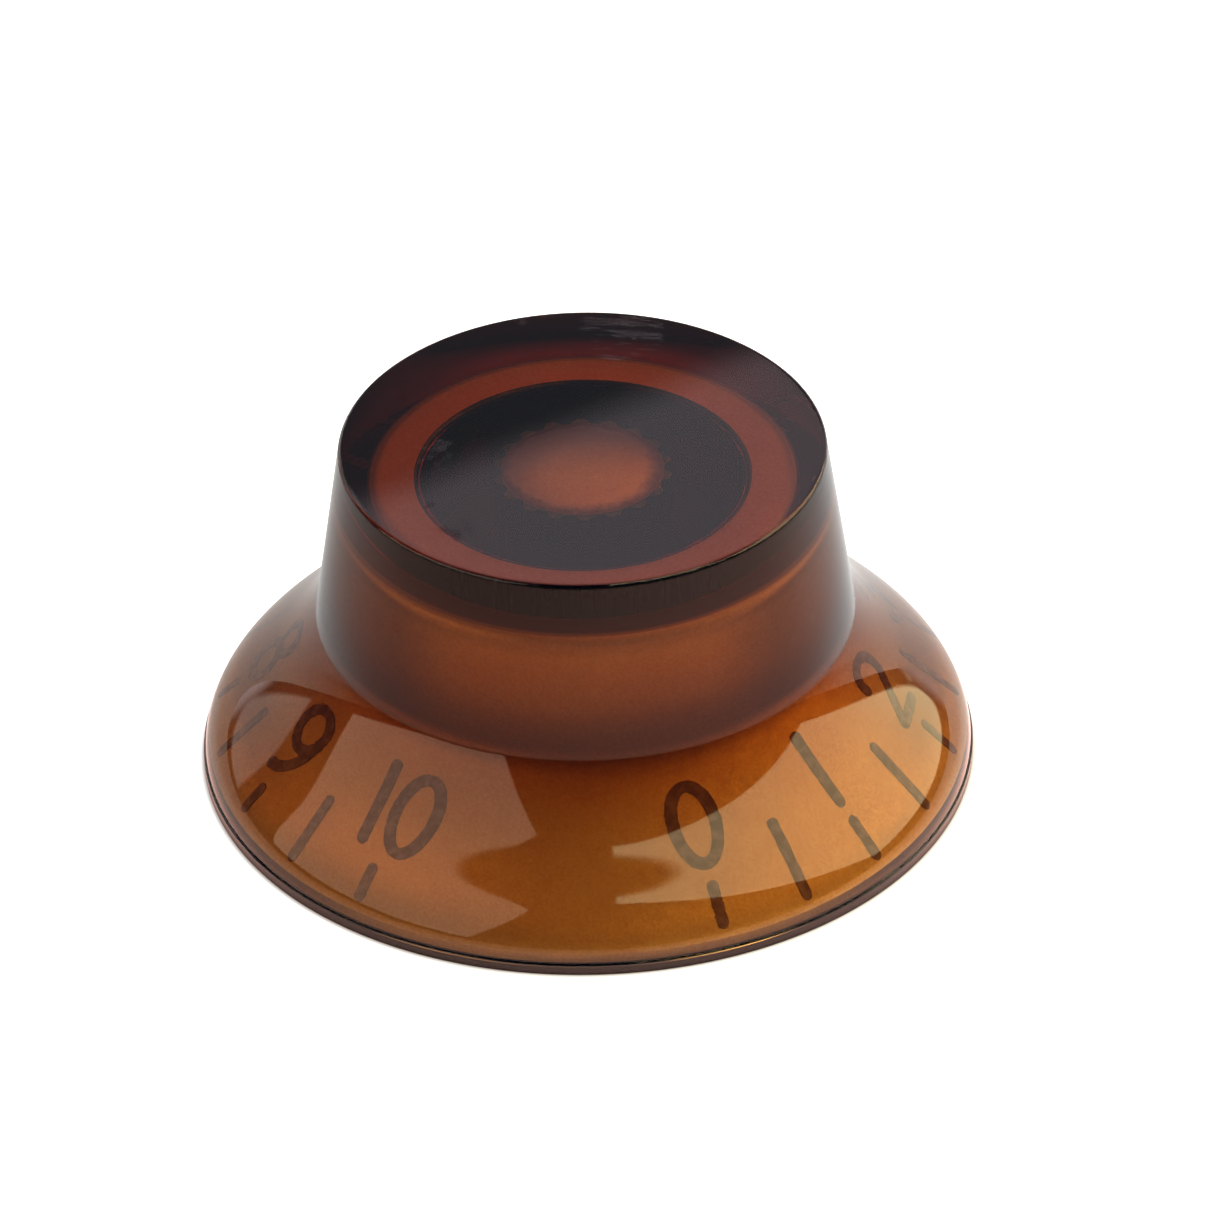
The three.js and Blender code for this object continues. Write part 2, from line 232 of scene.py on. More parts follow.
def rounded(corners):
    """(radius, height) points of an outline given as (radius, height, reach) corners.

    A corner with a reach is cut back by that much on both sides and bridged by a curve.
    Just beyond the curve's ends a long straight gets an extra point, which keeps its
    smooth shading flat.
    """
    places = [np.array(corner[:2], float) for corner in corners]
    outline = []
    for i, corner in enumerate(corners):
        reach = corner[2] if len(corner) > 2 else 0
        here = places[i]
        if reach == 0:
            outline.append(tuple(here))
            continue
        ways = [places[i - 1] - here, places[(i + 1) % len(corners)] - here]
        lengths = [np.linalg.norm(way) for way in ways]
        start, end = (here + reach * way / length for way, length in zip(ways, lengths))
        guards = [
            tuple(here + GUARD * reach * way / length) if length > 4 * reach else None
            for way, length in zip(ways, lengths)
        ]
        curve = [
            tuple((1 - t) ** 2 * start + 2 * t * (1 - t) * here + t**2 * end)
            for t in np.linspace(0, 1, ROUND_STEPS + 1)
        ]
        outline += [p for p in (guards[0], *curve, guards[1]) if p is not None]
    return outline


def hidden_outline(depth, start_radius, foot_z):
    """Corners of the hidden face, or of a face this deep, from the ceiling to the foot."""
    knee, *skirt = skirt_face(SKIRT_STEPS, depth)
    wall_foot = (INNER_RADIUS - depth, knee[1] + KNEE_ROUND)
    turn = bezier([wall_foot, knee, knee, skirt[1]], KNEE_STEPS)
    return [
        (start_radius, CEILING_Z - depth),
        (INNER_RADIUS - depth, CEILING_Z - depth, CEILING_CORNER_ROUND - depth),
        wall_foot,
        *[tuple(p) for p in turn],
        *[tuple(p) for p in skirt[2:]],
        (skirt[-1][0], foot_z),
    ]


def bore_end_z(radius):
    """Height of the bore's domed end at a radius."""
    return BORE_TOP_Z - BORE_END_RISE * (radius / SPLINE_TIP_RADIUS) ** 2


# ---------------------------------------------------------------- meshes


def new_piece(name, vertices, faces, material, nodes, sharp_angle=SHARP_ANGLE):
    """A smooth-shaded mesh object that rides on the knob and stands for CAD nodes."""
    mesh = bpy.data.meshes.new(name)
    mesh.from_pydata([tuple(Vector(v) * MM) for v in vertices], [], faces)
    mesh.validate()
    shape = bmesh.new()
    shape.from_mesh(mesh)
    bmesh.ops.recalc_face_normals(shape, faces=shape.faces)
    shape.to_mesh(mesh)
    shape.free()
    mesh.shade_smooth()
    mesh.set_sharp_from_angle(angle=math.radians(sharp_angle))
    mesh.materials.append(material)
    piece = bpy.data.objects.new(name, mesh)
    bpy.context.scene.collection.objects.link(piece)
    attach(piece, "root")
    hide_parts(*nodes)


def lathe(outline, closed):
    """Vertices and faces of an outline turned about Z.

    An outline point is (radius, height), where radius may be a function of the angle. An
    open outline starts and ends on the axis. A closed one joins its last point to its first.
    """
    vertices, rings, faces = [], [], []
    angles = [2 * math.pi * k / SEGMENTS for k in range(SEGMENTS)]
    for radius, height in outline:
        radius_at = radius if callable(radius) else (lambda angle, fixed=radius: fixed)
        if not callable(radius) and radius == 0:
            rings.append([len(vertices)] * SEGMENTS)
            vertices.append((0, 0, height))
            continue
        rings.append(range(len(vertices), len(vertices) + SEGMENTS))
        for angle in angles:
            r = radius_at(angle)
            vertices.append((r * math.cos(angle), r * math.sin(angle), height))
    pairs = list(zip(rings, rings[1:]))
    if closed:
        pairs.append((rings[-1], rings[0]))
    for upper, lower in pairs:
        for k in range(SEGMENTS):
            after = (k + 1) % SEGMENTS
            corners = [upper[k], upper[after], lower[after], lower[k]]
            faces.append(list(dict.fromkeys(corners)))
    return vertices, faces


# ---------------------------------------------------------------- material nodes


def metres(*lengths):
    """Millimetres as Blender's metres."""
    return [length * MM for length in lengths]


class Nodes:
    """Builds a shader tree with short calls."""

    def __init__(self, tree):
        self.tree = tree
        tree.nodes.clear()

    def add(self, kind, settings=None, **inputs):
        """A node with its settings. Inputs go by name or by index (at0), as values or sockets."""
        node = self.tree.nodes.new(kind)
        for key, value in (settings or {}).items():
            setattr(node, key, value)
        for key, value in inputs.items():
            self.put(node, key, value)
        return node

    def put(self, node, key, value):
        name = key.replace("_", " ")
        socket = node.inputs[int(key[2:])] if key.startswith("at") else node.inputs[name]
        if isinstance(value, bpy.types.NodeSocket):
            self.tree.links.new(value, socket)
        else:
            socket.default_value = value

    def math(self, operation, a, b=0.0):
        node = self.add("ShaderNodeMath", {"operation": operation}, at0=a, at1=b)
        return node.outputs[0]

    def vector(self, operation, a, b=(0, 0, 0)):
        """The result of a vector operation: a number if it measures, else a vector."""
        node = self.add("ShaderNodeVectorMath", {"operation": operation}, at0=a, at1=b)
        measures = operation in ("DOT_PRODUCT", "LENGTH", "DISTANCE")
        return node.outputs["Value" if measures else "Vector"]

    def noise(self, place, scale, detail=2.0, roughness=0.5):
        node = self.add("ShaderNodeTexNoise", None, Vector=place, Scale=scale)
        self.put(node, "Detail", detail)
        self.put(node, "Roughness", roughness)
        return node.outputs["Fac"]

    def ramp(self, value, low, high, to_low=0.0, to_high=1.0):
        """A smooth step from low to high."""
        node = self.add("ShaderNodeMapRange", {"interpolation_type": "SMOOTHSTEP"}, at0=value)
        for index, limit in enumerate((low, high, to_low, to_high), start=1):
            self.put(node, f"at{index}", limit)
        return node.outputs[0]

    def mix(self, factor, a, b):
        node = self.add("ShaderNodeMix", {"data_type": "RGBA"}, at0=factor, at6=a, at7=b)
        return node.outputs[2]


def new_material(name, colour):
    material = bpy.data.materials.new(name)
    material.use_nodes = True
    material.diffuse_color = (*colour, 1)
    return material, Nodes(material.node_tree)


# ---------------------------------------------------------------- the plastic

AMBER_LOSS = (0.17, 0.44, 0.97)  # red, green and blue light lost per millimetre
PLASTIC_IOR = 1.49
POLISHED = 0.012  # the roughness of untouched plastic
WEAR = 0.25  # the roughness that wear adds
SCUFF_CENTRE = (0.2, 6.9, 12.3)  # a patch of scratches near the back of the top
SCUFF_EDGE = (1.7, 0.5)  # the scratches fade in between these distances from it
SCUFF_RELIEF = 6.0  # how deep the scratches are, against the moulding's ripple


def amber_plastic():
    """Clear tinted plastic: polished, with faint moulding ripple, scuffs and fine scratches."""
    material, n = new_material("amber_plastic", (0.62, 0.28, 0.07))
    place = n.add("ShaderNodeTexCoord").outputs["Object"]
    specks = n.ramp(n.noise(place, scale=420, detail=4.0, roughness=0.7), 0.55, 0.75)
    patches = n.ramp(n.noise(place, scale=160), 0.52, 0.66)
    worn = n.math("MULTIPLY", specks, patches)

    stretched = n.add("ShaderNodeMapping", None, Vector=place, Scale=(0.35, 1.6, 1.0))
    streaks = n.noise(stretched.outputs[0], scale=1100, detail=4.0, roughness=0.7)
    streaks = n.ramp(streaks, 0.52, 0.64)
    distance = n.vector("DISTANCE", place, Vector(SCUFF_CENTRE) * MM)
    scuffed = n.math("MULTIPLY", n.ramp(distance, *metres(*SCUFF_EDGE)), streaks)
    worn = n.math("MAXIMUM", worn, scuffed)

    ripple = n.noise(place, scale=90, detail=1.0)
    relief = n.math("ADD", ripple, n.math("MULTIPLY", scuffed, SCUFF_RELIEF))
    bump = n.add("ShaderNodeBump", None, Strength=0.01, Distance=0.0001, Height=relief)
    surface = n.add(
        "ShaderNodeBsdfPrincipled",
        None,
        Base_Color=(1, 1, 1, 1),
        Roughness=n.math("ADD", POLISHED, n.math("MULTIPLY", worn, WEAR)),
        IOR=PLASTIC_IOR,
        Transmission_Weight=1.0,
        Normal=bump.outputs[0],
    )
    strongest = max(AMBER_LOSS)
    colour = [1 - loss / strongest for loss in AMBER_LOSS]
    volume = n.add("ShaderNodeVolumeAbsorption", None, Color=(*colour, 1))
    n.put(volume, "Density", strongest / MM)
    n.add(
        "ShaderNodeOutputMaterial",
        None,
        Surface=surface.outputs[0],
        Volume=volume.outputs[0],
    )
    return material


# ---------------------------------------------------------------- the paint and the ink

DARK_GOLD = (0.68, 0.45, 0.23, 1)
LIGHT_GOLD = (0.76, 0.60, 0.37, 1)
SHADE_AND_EDGE_ON_GOLD = (0.10, 0.03, 0.025, 1)  # painted shade on the lacquer, and flake seen edge-on
SHADED_BACK_GOLD = (0.20, 0.10, 0.05, 1)  # painted shade on the side that faces the hollow
SPECKLE_SHARE = 0.2
CLOUD_SHARE = 0.55
# Flake darkens as it is seen edge-on. Cosines of the tilt, and the brightness at each.
STEEP_FLOP = (0.42, 0.72, 0.06, 1.0)
SLANTED_FLOP = (0.74, 0.86, 0.45, 1.0)
DARK_INK = (0.23, 0.15, 0.14, 1)
LIGHT_INK = (0.38, 0.27, 0.26, 1)

# Radii, heights and distances between which the lacquer's painted shade comes in.
WALL_RADII = (7.9, 7.3)
WALL_HEIGHTS = (9.0, 5.0)
CORNER_RADII = (6.7, 7.15)
CORNER_HEIGHTS = (8.9, 9.7)
RIM_RADII = (2.3, 2.9)
RIM_RAGGED = 0.5
BORE_END_LIT_CENTRE = (0.6, -0.5, 0)  # the bore's end is painted lightest here and darker away from it, as painted light and shade
BORE_END_SHADE_DISTANCES = (1.5, 3.3)
WALL_SHADE = 0.6  # how dark the painted shade gets, where 1 is fully shaded
CORNER_SHADE = 0.4
RIM_SHADE = 0.85
BORE_END_SHADE = 0.7


def painted_shade_mask(n, place, flat):
    """Painted shade on the lacquer: down the upright wall, in its top corner, at the bore end's
    rim, and across the bore's end away from its lit side.
    """
    height = n.add("ShaderNodeSeparateXYZ", None, at0=place).outputs["Z"]
    radius = n.vector("LENGTH", flat)
    upright = n.ramp(radius, *metres(*WALL_RADII))
    wall = n.math("MULTIPLY", n.ramp(height, *metres(*WALL_HEIGHTS)), upright)
    wall = n.math("MULTIPLY", wall, WALL_SHADE)

    corner = n.math("MULTIPLY", n.ramp(radius, *metres(*CORNER_RADII)), upright)
    high = n.ramp(height, *metres(*CORNER_HEIGHTS), 0.0, CORNER_SHADE)
    corner = n.math("MULTIPLY", corner, high)

    wander = n.noise(place, scale=1500, detail=3.0, roughness=0.7)
    wander = n.math("MULTIPLY", wander, RIM_RAGGED * MM)
    rim = n.ramp(n.math("ADD", radius, wander), *metres(*RIM_RADII))
    from_lit_centre = n.vector("DISTANCE", flat, Vector(BORE_END_LIT_CENTRE) * MM)
    rim = n.math("MAXIMUM", rim, n.ramp(from_lit_centre, *metres(*BORE_END_SHADE_DISTANCES), 0.0, BORE_END_SHADE))
    in_bore = n.ramp(radius, *metres(BOSS_RADIUS, BORE_LACQUER_RADIUS))
    rim = n.math("MULTIPLY", n.math("MULTIPLY", rim, in_bore), RIM_SHADE)
    return n.math("MAXIMUM", n.math("MAXIMUM", wall, rim), corner)


def gold_lacquer():
    """Metallic paint: fine flake in a gold binder, lying flat, so it darkens edge-on."""
    material, n = new_material("gold_lacquer", (0.80, 0.50, 0.20))
    place = n.add("ShaderNodeTexCoord").outputs["Object"]
    flake = n.add("ShaderNodeTexVoronoi", {"feature": "F1"}, Vector=place, Scale=16000)
    glint = n.add("ShaderNodeSeparateColor", None, at0=flake.outputs["Color"])
    cloud = n.noise(place, scale=260, detail=3.0, roughness=0.6)
    speckle = n.math("MULTIPLY", glint.outputs[0], SPECKLE_SHARE)
    shade = n.math("ADD", speckle, n.math("MULTIPLY", cloud, CLOUD_SHARE))
    colour = n.mix(n.ramp(shade, 0.1, 0.65), DARK_GOLD, LIGHT_GOLD)

    geometry = n.add("ShaderNodeNewGeometry")
    normal = geometry.outputs["Normal"]
    facing = n.math("ABSOLUTE", n.vector("DOT_PRODUCT", geometry.outputs["Incoming"], normal))
    flop = n.math("MULTIPLY", n.ramp(facing, *STEEP_FLOP), n.ramp(facing, *SLANTED_FLOP))
    flat = n.vector("MULTIPLY", place, (1, 1, 0))
    # Painted shade and the flop both darken the lacquer towards one dark colour.
    unshaded = n.math("SUBTRACT", 1.0, painted_shade_mask(n, place, flat))
    colour = n.mix(n.math("MULTIPLY", unshaded, flop), SHADE_AND_EDGE_ON_GOLD, colour)

    # Painted shade: the side that faces the hollow is darker.
    to_plastic = n.vector("ADD", n.vector("NORMALIZE", flat), (0, 0, 1))
    side = n.vector("DOT_PRODUCT", to_plastic, normal)
    colour = n.mix(n.ramp(side, -0.2, 0.2), SHADED_BACK_GOLD, colour)

    bump = n.add(
        "ShaderNodeBump", None, Strength=0.12, Distance=0.00002, Height=glint.outputs[1]
    )
    surface = n.add(
        "ShaderNodeBsdfPrincipled",
        None,
        Base_Color=colour,
        Metallic=1.0,
        Roughness=n.ramp(glint.outputs[2], 0, 1, 0.5, 0.6),
        Normal=bump.outputs[0],
    )
    n.add("ShaderNodeOutputMaterial", None, Surface=surface.outputs[0])
    return material


def dial_ink():
    """Pad-printed ink: dark brown, a little mottled where it went on thin."""
    material, n = new_material("dial_ink", (0.16, 0.09, 0.07))
    place = n.add("ShaderNodeTexCoord").outputs["Object"]
    mottle = n.ramp(n.noise(place, scale=2600, detail=3.0, roughness=0.6), 0.35, 0.75)
    surface = n.add(
        "ShaderNodeBsdfPrincipled",
        None,
        Base_Color=n.mix(mottle, DARK_INK, LIGHT_INK),
        Roughness=n.ramp(mottle, 0, 1, 0.5, 0.75),
        Specular_IOR_Level=0.3,
    )
    n.add("ShaderNodeOutputMaterial", None, Surface=surface.outputs[0])
    return material


# ---------------------------------------------------------------- the moulding


def spline_radius(angle):
    """The bore's radius: soft-edged teeth, as a mould cuts them."""
    wave = 0.5 + 0.5 * math.cos(SPLINE_TEETH * angle)
    tooth = min(1, max(0, (wave - 0.5) * SPLINE_SHARPNESS + 0.5))
    return SPLINE_TIP_RADIUS + (SPLINE_ROOT_RADIUS - SPLINE_TIP_RADIUS) * tooth


def build_shell(material):
    """The moulding: body, skirt, lip, boss and splined bore, as one turned solid."""
    skirt = [tuple(p) for p in skirt_face(SKIRT_STEPS)]
    hidden_foot = skirt_face(1, 0)[1][0]
    outer = [
        (0, HEIGHT),
        (TOP_RADIUS * 0.5, HEIGHT),
        (TOP_RADIUS, HEIGHT, TOP_EDGE_ROUND),
        (*skirt[0], CREASE_ROUND),
        *skirt[1:-1],
        (*skirt[-1], SKIRT_FOOT_ROUND),
        (LIP_RADIUS, LIP_HEIGHT, LIP_ROUND),
        (LIP_RADIUS, 0, RIM_ROUND),
        (hidden_foot, 0, RIM_INNER_ROUND),
    ]
    hidden = hidden_outline(0, BOSS_RADIUS, 0)[::-1][1:-1]
    boss = [
        (BOSS_RADIUS, CEILING_Z, BOSS_ROOT_ROUND),
        (BOSS_END_RADIUS, BOSS_END_Z, BOSS_END_ROUND),
        (BORE_MOUTH_RADIUS, BOSS_END_Z, BORE_MOUTH_ROUND),
    ]
    mouth_z = BOSS_END_Z + BORE_MOUTH_DEPTH
    outline = rounded([*outer, *hidden, *boss, (SPLINE_TIP_RADIUS, mouth_z)])
    bore_wall_z = bore_end_z(SPLINE_TIP_RADIUS)
    bore = [
        (spline_radius, mouth_z + SPLINE_LEAD),
        (spline_radius, (BOSS_END_Z + bore_wall_z) / 2),
        (spline_radius, bore_wall_z - SPLINE_TOP_GAP),
        (lambda angle: spline_radius(angle) - SPLINE_TOP_STEP, bore_wall_z),
        *[(r, bore_end_z(r)) for r in np.linspace(BORE_LACQUER_RADIUS, 0, BORE_END_STEPS)],
    ]
    vertices, faces = lathe([*outline[:-1], *bore], closed=False)
    new_piece("shell", vertices, faces, material, ["amber_shell"])


# ---------------------------------------------------------------- the lacquer


def build_lining(material):
    """One film over the ceiling, the wall and the skirt, bare round the boss and at the rim."""
    front = hidden_outline(LACQUER_FRONT, LACQUER_START_RADIUS, LACQUER_EDGE_Z)
    back = hidden_outline(LACQUER_BACK, LACQUER_START_RADIUS, LACQUER_EDGE_Z)
    vertices, faces = lathe(rounded([*front, *back[::-1]]), closed=True)
    new_piece("lining", vertices, faces, material, ["gold_lining"])


def build_bore_end(material):
    """The lacquer that reached the end of the bore, thicker in its middle."""
    radii = np.linspace(0, BORE_LACQUER_RADIUS, BORE_END_STEPS)
    thickening = BORE_LACQUER_POOL - radii / BORE_LACQUER_RADIUS
    front = [(r, bore_end_z(r) - LACQUER_FRONT) for r in radii]
    back = [(r, bore_end_z(r) - LACQUER_BACK * more) for r, more in zip(radii, thickening)]
    vertices, faces = lathe([*front, *back[::-1]], closed=False)
    new_piece("bore_end", vertices, faces, material, ["gold_bore_end"])


# ---------------------------------------------------------------- the figures

# A figure is a list of strokes on a box one wide, from -0.5 to 0.5, and one high. A stroke
# is a chain of points.


def line(*ends):
    return np.array(ends, float)


def bowl(x, y, radius_x, radius_y, start=0, end=360):
    angles = np.radians(np.linspace(start, end, BOWL_POINTS))
    return np.stack([x + radius_x * np.cos(angles), y + radius_y * np.sin(angles)], axis=1)


def loop_and_tail(turn):
    """The loop of a 6 with its rising tail, or of a 9 turned about."""
    pulls = [(-0.5, 0.3), (-0.5, 0.72), (-0.15, 0.95), (0.36, 1)]
    strokes = (bowl(0, 0.3, 0.5, 0.3), bezier(pulls, np.linspace(0, 1, TAIL_POINTS)))
    return [turn * (stroke - [0, 0.5]) + [0, 0.5] for stroke in strokes]


FIGURES = [
    [bowl(0, 0.5, 0.5, 0.5)],
    [line((0, 0), (0, 1))],
    [bowl(0, 0.72, 0.5, 0.28, 190, -38), line((0.394, 0.548), (-0.5, 0), (0.5, 0))],
    [bowl(-0.03, 0.76, 0.47, 0.24, 165, -90), bowl(-0.03, 0.26, 0.53, 0.26, 90, -165)],
    [line((0.22, 0), (0.22, 1), (-0.5, 0.3), (0.5, 0.3))],
    [line((0.42, 1), (-0.36, 1), (-0.42, 0.54)), bowl(-0.04, 0.32, 0.54, 0.32, 135, -150)],
    loop_and_tail(1),
    [line((-0.5, 1), (0.5, 1), (-0.15, 0))],
    [bowl(0, 0.76, 0.43, 0.24), bowl(0, 0.26, 0.5, 0.26)],
    loop_and_tail(-1),
]


def distance_to(stroke, x, y):
    """Distance of every grid point from a chain of points."""
    nearest = np.full(x.shape, np.inf)
    for (ax, ay), (bx, by) in zip(stroke, stroke[1:]):
        dx, dy = bx - ax, by - ay
        length2 = max(dx * dx + dy * dy, 1e-12)
        t = np.clip(((x - ax) * dx + (y - ay) * dy) / length2, 0, 1)
        nearest = np.minimum(nearest, np.hypot(x - ax - t * dx, y - ay - t * dy))
    return nearest


def bleed(x, y, key):
    """How far the ink's edge wanders from a clean stroke, in millimetres."""
    fine = noise.noise(Vector((x * 7, y * 7, key * 3.7)))
    coarse = noise.noise(Vector((x * 2.2, y * 2.2, key * 5.3 + 40)))
    ragged = noise.noise(Vector((x * 16, y * 16, key * 2.9 + 80)))
    spread = max(0, noise.noise(Vector((x * 1.1, y * 1.1, key * 7.1 + 20))) - SPREAD_START)
    return FINE_BLEED * fine + COARSE_BLEED * coarse + SPREAD_BLEED * spread * ragged


def inked_cells(strokes, width, key):
    """Points and polygons of the flat area that the ink covers, cut off a fine grid.

    Each grid cell keeps the part of it that lies inside the ink's edge. Neighbouring cells
    share the points on their common side.
    """
    every = np.vstack(strokes)
    low = every.min(0) - width / 2 - INK_MARGIN
    high = every.max(0) + width / 2 + INK_MARGIN
    xs = np.arange(low[0], high[0], INK_CELL)
    ys = np.arange(low[1], high[1], INK_CELL)
    x, y = np.meshgrid(xs, ys, indexing="ij")
    outside = np.minimum.reduce([distance_to(stroke, x, y) for stroke in strokes]) - width / 2
    near = np.abs(outside) < INK_MARGIN / 2
    outside[near] += [bleed(px, py, key) for px, py in zip(x[near], y[near])]

    points, index, polygons = [], {}, []

    def point(tag, place):
        if tag not in index:
            index[tag] = len(points)
            points.append(place)
        return index[tag]

    for i in range(len(xs) - 1):
        for j in range(len(ys) - 1):
            corners = [(i, j), (i + 1, j), (i + 1, j + 1), (i, j + 1)]
            depths = [outside[c] for c in corners]
            if min(depths) >= 0:
                continue
            polygon = []
            for k in range(4):
                a, b = corners[k], corners[(k + 1) % 4]
                pa, pb = (np.array([xs[c[0]], ys[c[1]]]) for c in (a, b))
                if depths[k] < 0:
                    polygon.append(point(a, pa))
                if (depths[k] < 0) != (outside[b] < 0):
                    t = depths[k] / (depths[k] - outside[b])
                    t = min(1 - INK_CUT_LIMIT, max(INK_CUT_LIMIT, t))
                    polygon.append(point(frozenset((a, b)), pa + t * (pb - pa)))
            polygons.append(polygon)
    return points, polygons


def film(points, polygons, place):
    """A closed thin solid over flat polygons. `place` puts a flat point at a depth."""
    count = len(points)
    vertices = [place(p, INK_FRONT) for p in points] + [place(p, INK_BACK) for p in points]
    faces = [list(p) for p in polygons] + [[v + count for v in reversed(p)] for p in polygons]
    sides = {}
    for p in polygons:
        for a, b in zip(p, p[1:] + p[:1]):
            if sides.pop((b, a), None) is None:
                sides[(a, b)] = True
    faces += [[b, a, a + count, b + count] for a, b in sides]
    return vertices, faces


def build_print(node, strokes, width, azimuth, foot, hidden, material, key):
    """One printed character or mark, wrapped onto the skirt's hidden face.

    The key gives each one its own ragged edge.
    """
    points, polygons = inked_cells(strokes, width, key)

    def place(flat, depth):
        radius, height = hidden.at(foot - flat[1], depth)
        turn = math.radians(azimuth - 90) + flat[0] / hidden.at(foot - flat[1], 0)[0]
        return radius * math.cos(turn), radius * math.sin(turn), height

    vertices, faces = film(points, polygons, place)
    new_piece(
        "ink_" + node,
        vertices,
        faces,
        material,
        [node],
        sharp_angle=INK_SHARP_ANGLE,
    )


def print_drop(azimuth):
    """How far the print has slipped down the skirt at an azimuth."""
    return PRINT_DROP * (1 - math.cos(math.radians(azimuth - PRINT_HIGH_SIDE)))


def build_dial(material):
    hidden = HiddenSkirt()

    def mark(node, head, azimuth, key):
        strokes = [line((0, 0), (0, MARK_FOOT - head - print_drop(azimuth)))]
        build_print(node, strokes, MARK_WIDTH, azimuth, MARK_FOOT, hidden, material, key)

    def figure(node, digit, azimuth, key, shift=0):
        scale = [DIGIT_WIDTH, DIGIT_HEIGHT]
        strokes = [stroke * scale + [shift, 0] for stroke in FIGURES[digit]]
        foot = DIGIT_FOOT + print_drop(azimuth)
        build_print(node, strokes, STROKE, azimuth, foot, hidden, material, key)

    for number in range(DIAL_MAX + 1):
        azimuth = DIAL_ZERO + number * DIAL_STEP
        mark(f"mark_{number}", MARK_HEAD, azimuth, number)
        if number < DIAL_MAX:
            mark(f"half_mark_{number}", HALF_MARK_HEAD, azimuth + DIAL_STEP / 2, number + 20)
            figure(f"figure_{number}", number, azimuth, number + 40)
        else:
            figure("figure_10_one", 1, azimuth, 50, TEN_ONE_OFFSET)
            figure("figure_10_zero", 0, azimuth, 51, TEN_ZERO_OFFSET)


# ---------------------------------------------------------------- camera

CAMERA_AZIMUTH = 9
CAMERA_ELEVATION = 34.88
CAMERA_DISTANCE = 470
CAMERA_ROLL = -1.09
AIM_HEIGHT = 6.0
AIM_RIGHT = 0.89  # the camera looks a little to the right of the knob and below it
AIM_DOWN = 0.34
SENSOR = 36.0
LENS = 411.8


def direction(azimuth, elevation):
    """The unit vector from the knob towards an azimuth and elevation."""
    a, e = math.radians(azimuth), math.radians(elevation)
    return Vector((math.sin(a) * math.cos(e), -math.cos(a) * math.cos(e), math.sin(e)))


def build_camera():
    data = bpy.data.cameras.new("camera")
    data.lens = LENS
    data.sensor_width = SENSOR
    data.clip_start = 10 * MM
    data.clip_end = 10000 * MM
    camera = bpy.data.objects.new("camera", data)
    bpy.context.scene.collection.objects.link(camera)
    back = direction(CAMERA_AZIMUTH, CAMERA_ELEVATION)
    facing = back.to_track_quat("Z", "Y").to_matrix().to_4x4()
    turned = facing @ Matrix.Rotation(math.radians(CAMERA_ROLL), 4, "Z")
    middle = Vector((0, 0, AIM_HEIGHT))
    right, up = turned.col[0].to_3d(), turned.col[1].to_3d()
    place = middle + back * CAMERA_DISTANCE + right * AIM_RIGHT - up * AIM_DOWN
    camera.matrix_world = Matrix.Translation(place * MM) @ turned
    bpy.context.scene.camera = camera


# ---------------------------------------------------------------- light

# A softbox is a convex patch of sky. Its corners are (azimuth from the camera, elevation).
# It is cut off level at the elevation `top`, and its edge is soft over `softness` degrees.
Softbox = namedtuple("Softbox", "corners top strength colour softness")

UNCUT = 90
KEY_COLOUR = (1, 0.93, 0.58)
SOFTBOXES = [
    Softbox(
        corners=[(9, 50.5), (46, 41), (88, 9), (139, 4), (150, 60), (60, 84)],
        top=52.8,
        strength=2.95,
        colour=KEY_COLOUR,
        softness=1.2,
    ),
    Softbox(
        corners=[(15, 60), (80, 60), (150, 60), (60, 84)],
        top=UNCUT,
        strength=2.7,
        colour=KEY_COLOUR,
        softness=1.2,
    ),
    Softbox(
        corners=[(-100, 4), (-34, 4), (-19, 51), (-60, 53), (-110, 40)],
        top=49.3,
        strength=1.75,
        colour=(1, 0.78, 0.6),
        softness=1.2,
    ),
    Softbox(
        corners=[(-165, 3), (-121, 3), (-124, 40), (-165, 40)],
        top=UNCUT,
        strength=0.85,
        colour=(1, 0.95, 0.85),
        softness=2.0,
    ),
    Softbox(
        corners=[(215, 39), (140, 13), (130, 75), (230, 75)],
        top=UNCUT,
        strength=0.7,
        colour=(1, 0.86, 0.9),
        softness=0.18,
    ),
]
ROOM = 0.12
ROOM_COLOUR = (0.42, 0.58, 1, 1)
BACKDROP = 1.0  # the pale wall behind the knob
BACKDROP_COLOUR = (1, 0.95, 0.92, 1)
BACKDROP_SIDES = (0.745, 0.8)  # cosines of the turn from straight behind
BACKDROP_TOP = (0.15, 0.45)  # sines of the elevation
ABOVE_BACKDROP = 0.2
SEEN = 0.9  # what the camera itself sees of the sky and the floor

# What the knob reflects of the floor and the light it gets off it, by the radius and the side
# of the knob: painted reflections and painted light in the floor's glow, with a bright ring
# just outside the rim and a warm painted bounce tint near the knob. Radii in pairs are the
# start and the end of a change.
FLOOR_HALF = 2000
FLOOR_GRAIN = (0.58, 0.62)
GLOW_START = (0.99, 1.02)  # of the lip's radius
FRONT_FLOOR = 0.9
BACK_FLOOR = 0.63
FRONT_SIDES = (-0.8, 0.25)  # cosines of the turn from straight in front
LEFT_FLOOR = 0.95
RIGHT_FLOOR = 1.5
RIM_LIGHT_RADII = (13.3, 14.3)
RIM_LIGHT = 1.7
BEYOND_RIM = 0.85
FAR_RADII = (40, 80)
FAR_FLOOR = 0.25
PAINTED_BOUNCE_TINT = (1.0, 0.63, 0.55, 1)
NEAR_BOUNCE_RADII = (14.3, 13.6)
FAR_BOUNCE_RADII = (16, 22)


